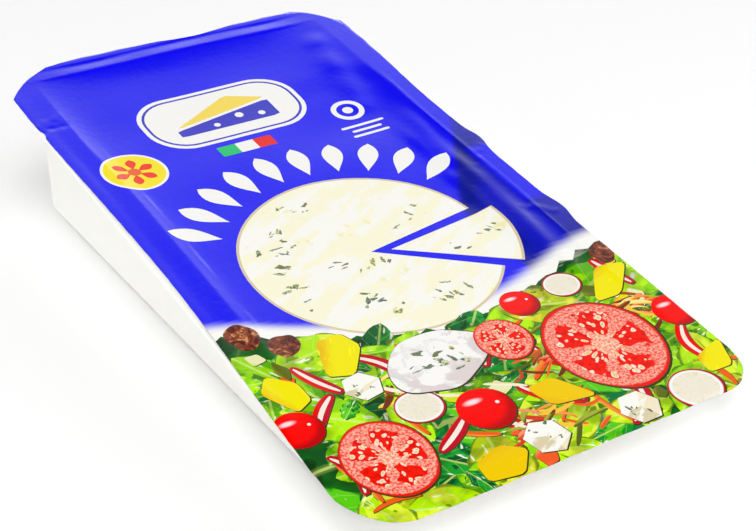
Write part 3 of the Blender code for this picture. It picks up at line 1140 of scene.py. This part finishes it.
def build_film():
    """The film as one thin closed sheet, printed on top and white beneath."""
    motifs = print_motifs()
    places, triangles, top = film_plan(motifs)
    corners = places[triangles]
    first, second = corners[:, 1] - corners[:, 0], corners[:, 2] - corners[:, 0]
    flipped = first[:, 0] * second[:, 1] - first[:, 1] * second[:, 0] < 0
    triangles[flipped] = triangles[flipped][:, ::-1]

    x, s = (places[:, 0] - MIDDLE_X) * UNIT, places[:, 1] * UNIT
    lift = film_lift(x, s)
    count = len(places)
    upper = np.stack((x, s, lift), axis=1)
    lower = upper - (0, 0, FILM_SHEET)
    faces = triangles.tolist() + (triangles[:, ::-1] + count).tolist()
    faces += [(a, a + count, b + count, b) for a, b in boundary_loop(triangles)]

    mesh = bpy.data.meshes.new("printed_film")
    mesh.from_pydata(np.vstack((upper, lower)).tolist(), [], faces)
    names = list(PATTERNS)
    for name in names:
        mesh.materials.append(print_material(name, PATTERNS[name]))
    mesh.materials.append(back_material())
    slots = np.full(len(faces), len(names))
    slots[: len(top)] = [names.index(motifs[number].pattern) for number in top]
    mesh.polygons.foreach_set("material_index", slots)

    write_attributes(mesh, motifs, places, triangles, top)
    normals = film_normals(x, s)
    mesh.shade_smooth()
    mesh.normals_split_custom_set_from_vertices(np.vstack((normals, -normals)).tolist())
    mesh.transform(MOUTH_FRAME)
    return add_object("printed_film", mesh)


BAKE_HEIGHT = 193.0


def add_attribute(mesh, name, kind, domain, field, values):
    """Writes one of the mesh's own attributes."""
    mesh.attributes.new(name, kind, domain).data.foreach_set(field, values.ravel())


def write_attributes(mesh, motifs, places, triangles, top):
    """Gives each corner its inks and its motif's own axes, each point its place, and a flat layout."""
    count = len(places)
    doubled = np.vstack((places, places))
    flat_places = np.hstack((doubled, np.zeros((2 * count, 1))))
    add_attribute(mesh, "place", "FLOAT_VECTOR", "POINT", "vector", flat_places)
    # The first field is the print's white fade at the salad, the second the mask of the dark reflection
    # painted on the blue
    for name, field in (("glow", ground_glow), ("painted_reflection", ground_painted_reflection)):
        add_attribute(mesh, name, "FLOAT", "POINT", "value", field(*doubled.T))

    loops = len(mesh.loops)
    own = np.zeros((loops, 3))
    inks = [np.ones((loops, 4)), np.ones((loops, 4))]
    for number in np.unique(top):
        motif = motifs[number]
        chosen = np.flatnonzero(top == number)
        corners = (chosen[:, None] * 3 + np.arange(3)).ravel()
        own[corners, :2] = motif.own_axes(places[triangles[chosen].ravel()])
        own[corners, 2] = motif.seed
        for table, colour in zip(inks, motif.inks):
            table[corners, :3] = colour
    add_attribute(mesh, "motif", "FLOAT_VECTOR", "CORNER", "vector", own)
    for name, table in zip(("ink", "ink_two"), inks):
        add_attribute(mesh, name, "FLOAT_COLOR", "CORNER", "color", table)

    vertices = np.empty(loops, dtype=int)
    mesh.loops.foreach_get("vertex_index", vertices)
    flat = (doubled + (4, 1)) / BAKE_HEIGHT
    flat[count:, 0] = 1 - flat[count:, 0]
    layout = mesh.uv_layers.new(name="OFBake")
    layout.data.foreach_set("uv", flat[vertices].ravel())


# The tray's mesh


RIM_INSETS = (0.0012, 0.0016, 0.0020, 0.0024, 0.0029, 0.0034, 0.0039, 0.0044, 0.0048, 0.0052)
DISH_INSETS = (0.0058, 0.0066, 0.0076, 0.0086, 0.0096, 0.0110, 0.0130, 0.0160, 0.0200)
DISH_DROP = 0.0004
NEARBY = 0.0004
INNER_CORNERS = (0.0075, 0.0070, 0.0095, 0.0095)
RIM_ROUNDING = 0.0003
INNER_SHARES = (0.4, 0.72)
RIM_UNDERSIDE = -0.0011


def under_film(points):
    """The highest lift that stays clear of the film's back round each point."""
    x, s = points.T
    steps = ((0, 0), (NEARBY, 0), (-NEARBY, 0), (0, NEARBY), (0, -NEARBY))
    lowest = np.minimum.reduce([film_lift(x + across, s + along) for across, along in steps])
    return np.minimum(lowest, 0.0) - FILM_SHEET - SEAL_GAP


def mouth_ring(points, lift):
    """A ring of the mouth's frame set in the world."""
    ring = np.hstack((points, np.broadcast_to(np.asarray(lift).reshape(-1, 1), (len(points), 1))))
    turn = np.array(MOUTH_FRAME)
    return ring @ turn[:3, :3].T + turn[:3, 3]


def floor_ring(inset, height):
    """A ring of the tray's floor outline."""
    left = FLOOR_SIDE_INSET + inset - HALF_WIDTH
    front = FLOOR_FRONT_INSET + inset - HALF_DEPTH
    back = HALF_DEPTH - FLOOR_BACK_INSET - inset
    radii = [max(radius - inset * 0.4, 0.002) for radius in FLOOR_CORNERS]
    points = rounded_outline(left, -left, front, back, radii)
    return np.hstack((points, np.full((len(points), 1), height)))


def rounded_turn(first, corner, last, steps=6):
    """Rings round a corner from a first ring, which isn't given again, to the last."""
    shares = [step / steps for step in range(1, steps + 1)]
    return [first * (1 - t) ** 2 + corner * 2 * t * (1 - t) + last * t**2 for t in shares]


def tray_rings():
    """Rings of the tray from the middle of its top, over the rim, down the wall and under the floor."""
    innermost = mouth_outline(DISH_INSETS[-1], INNER_CORNERS)
    middle = np.array((0, FILM_LENGTH / 2))
    dish = [middle + (innermost - middle) * share for share in INNER_SHARES]
    dish += [mouth_outline(inset, INNER_CORNERS) for inset in reversed(DISH_INSETS)]
    rings = [mouth_ring(points, under_film(points) - DISH_DROP) for points in dish]
    for inset in reversed(RIM_INSETS):
        share = (inset - RIM_INSETS[0]) / (RIM_INSETS[-1] - RIM_INSETS[0])
        radii = [outer + (inner - outer) * share for outer, inner in zip(RIM_CORNERS, INNER_CORNERS)]
        points = mouth_outline(inset, radii)
        rings.append(mouth_ring(points, under_film(points)))
    top = -FILM_SHEET - SEAL_GAP
    flat = mouth_outline(RIM_INSETS[0], RIM_CORNERS)
    edge = mouth_outline(RIM_SETBACK, RIM_CORNERS)
    rings += rounded_turn(rings[-1], mouth_ring(edge, top), mouth_ring(edge, top - RIM_ROUNDING), 4)
    rings.append(mouth_ring(edge, RIM_UNDERSIDE + RIM_ROUNDING))
    rings += rounded_turn(rings[-1], mouth_ring(edge, RIM_UNDERSIDE), mouth_ring(flat, RIM_UNDERSIDE), 4)
    wall = mouth_ring(mouth_outline(WALL_INSET, WALL_CORNERS), RIM_UNDERSIDE)
    floor = floor_ring(0.0, 0.0)
    lean = (floor - wall) / np.linalg.norm(floor - wall, axis=1)[:, None]
    rings.append(mouth_ring(mouth_outline(WALL_INSET - WALL_TOP_ROUNDING, WALL_CORNERS), RIM_UNDERSIDE))
    rings += rounded_turn(rings[-1], wall, wall + lean * WALL_TOP_ROUNDING)
    rings += [wall + (floor - wall) * share for share in (0.2, 0.4, 0.6, 0.8)]
    rings.append(floor - lean * FLOOR_ROUNDING)
    rings += rounded_turn(rings[-1], floor, floor_ring(FLOOR_ROUNDING, 0.0), 8)
    foot_end = FLOOR_ROUNDING + FOOT_WIDTH
    rings += [floor_ring(foot_end, 0.0), floor_ring(foot_end + FOOT_HEIGHT, FOOT_HEIGHT)]
    return rings


def build_tray():
    """The white moulded tray, closed on top under the film."""
    rings = tray_rings()
    size = len(rings[0])
    points = np.vstack([rings[0].mean(axis=0)[None]] + rings + [rings[-1].mean(axis=0)[None]])
    lowest = 1 + (len(rings) - 1) * size
    faces = []
    for i in range(size):
        j = (i + 1) % size
        faces.append((0, 1 + i, 1 + j))
        for upper in range(1, lowest, size):
            lower = upper + size
            faces.append((upper + i, lower + i, lower + j, upper + j))
        faces.append((lowest + j, lowest + i, len(points) - 1))
    mesh = bpy.data.meshes.new("white_tray")
    mesh.from_pydata(points.tolist(), [], faces)
    mesh.shade_smooth()
    mesh.set_sharp_from_angle(angle=math.radians(50))
    mesh.materials.append(tray_material())
    return add_object("white_tray", mesh)


# The studio


FLOOR_REACH = 4.0


def build_floor():
    """A wide pale floor."""
    mesh = bpy.data.meshes.new("floor")
    corners = ((-1, -1), (1, -1), (1, 1), (-1, 1))
    mesh.from_pydata([(FLOOR_REACH * x, FLOOR_REACH * y, 0) for x, y in corners], [], [(0, 1, 2, 3)])
    material, shader, graph = new_material("floor_white")
    faint = graph.noise(graph.add("TexCoord", {}, "Object"), 4.0)
    graph.fill(shader, {
        "Base Color": graph.mix(faint, (0.97, 0.97, 0.97), (0.98, 0.98, 0.98)),
        "Roughness": 0.9,
        "Specular IOR Level": 0.1,
    })
    mesh.materials.append(material)
    return add_object("floor", mesh)


# How bright the studio is low down, above that and overhead, and between which heights it changes
LOW_LIGHT = 1.2
MIDDLE_LIGHT = 0.38
HIGH_LIGHT = 0.04
LOW_BAND = (math.sin(math.radians(20)), math.sin(math.radians(40)))
HIGH_BAND = (math.sin(math.radians(42)), math.sin(math.radians(47.5)))
GLOW_AZIMUTH = math.radians(42)
GLOW_ELEVATION = math.radians(10)
GLOW_REACH = 0.80
GLOW_LIGHT = 0.85


def direction(azimuth, elevation):
    """A unit vector from its angle round from +Y and its angle up."""
    level = math.cos(elevation)
    return (math.sin(azimuth) * level, math.cos(azimuth) * level, math.sin(elevation))


def build_world():
    """A studio that is bright low down all round, dark overhead, and brightest low behind the pack."""
    world = bpy.data.worlds.new("studio")
    bpy.context.scene.world = world
    world.use_nodes = True
    graph = Graph(world.node_tree)
    view = graph.add("TexCoord", {}, "Generated")
    height = graph.split(view)[2]
    low = graph.ease(height, *LOW_BAND) * (MIDDLE_LIGHT - LOW_LIGHT) + LOW_LIGHT
    high = graph.ease(height, *HIGH_BAND) * (HIGH_LIGHT - MIDDLE_LIGHT)
    centre = direction(GLOW_AZIMUTH, GLOW_ELEVATION)
    away = graph.add("VectorMath", {0: view, 1: centre}, "Value", operation="DISTANCE")
    glow = (1.0 - graph.ease(away, 0.0, GLOW_REACH)) * GLOW_LIGHT
    background = world.node_tree.nodes["Background"]
    graph.fill(background, {"Color": (1.0, 1.0, 1.0), "Strength": low + high + glow})


def build_light(name, place, size, power):
    """A square soft light aimed at the pack."""
    data = bpy.data.lights.new(name, "AREA")
    data.size = size
    data.energy = power
    lamp = add_object(name, data)
    lamp.location = place
    lamp.rotation_euler = (-Vector(place)).to_track_quat("-Z", "Y").to_euler()


CAMERA_TARGET = Vector((-0.00198, -0.018775, 0.018))
CAMERA_DISTANCE = 0.32085
CAMERA_AZIMUTH = math.radians(32.62)
CAMERA_ELEVATION = math.radians(29.94)
LENS = 72.73
SENSOR = 36.0


def build_camera():
    """A camera that sees the pack as the photograph does."""
    data = bpy.data.cameras.new("camera")
    data.sensor_fit = "HORIZONTAL"
    data.sensor_width = SENSOR
    data.lens = LENS
    data.clip_start = 0.01
    camera = add_object("camera", data)
    forward = Vector(direction(CAMERA_AZIMUTH, -CAMERA_ELEVATION))
    camera.location = CAMERA_TARGET - forward * CAMERA_DISTANCE
    camera.rotation_euler = forward.to_track_quat("-Z", "Y").to_euler()
    bpy.context.scene.camera = camera


def main():
    build_camera()
    film = build_film()
    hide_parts("lid_film")
    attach(film, "root")
    tray = build_tray()
    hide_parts("tray")
    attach(tray, "root")
    build_floor()
    build_world()
    build_light("key", (-0.45, -0.75, 1.5), 1.1, 19.5)
    build_light("fill", (0.9, -0.9, 1.1), 1.0, 5.5)
    bpy.context.scene.view_settings.view_transform = "Standard"


main()
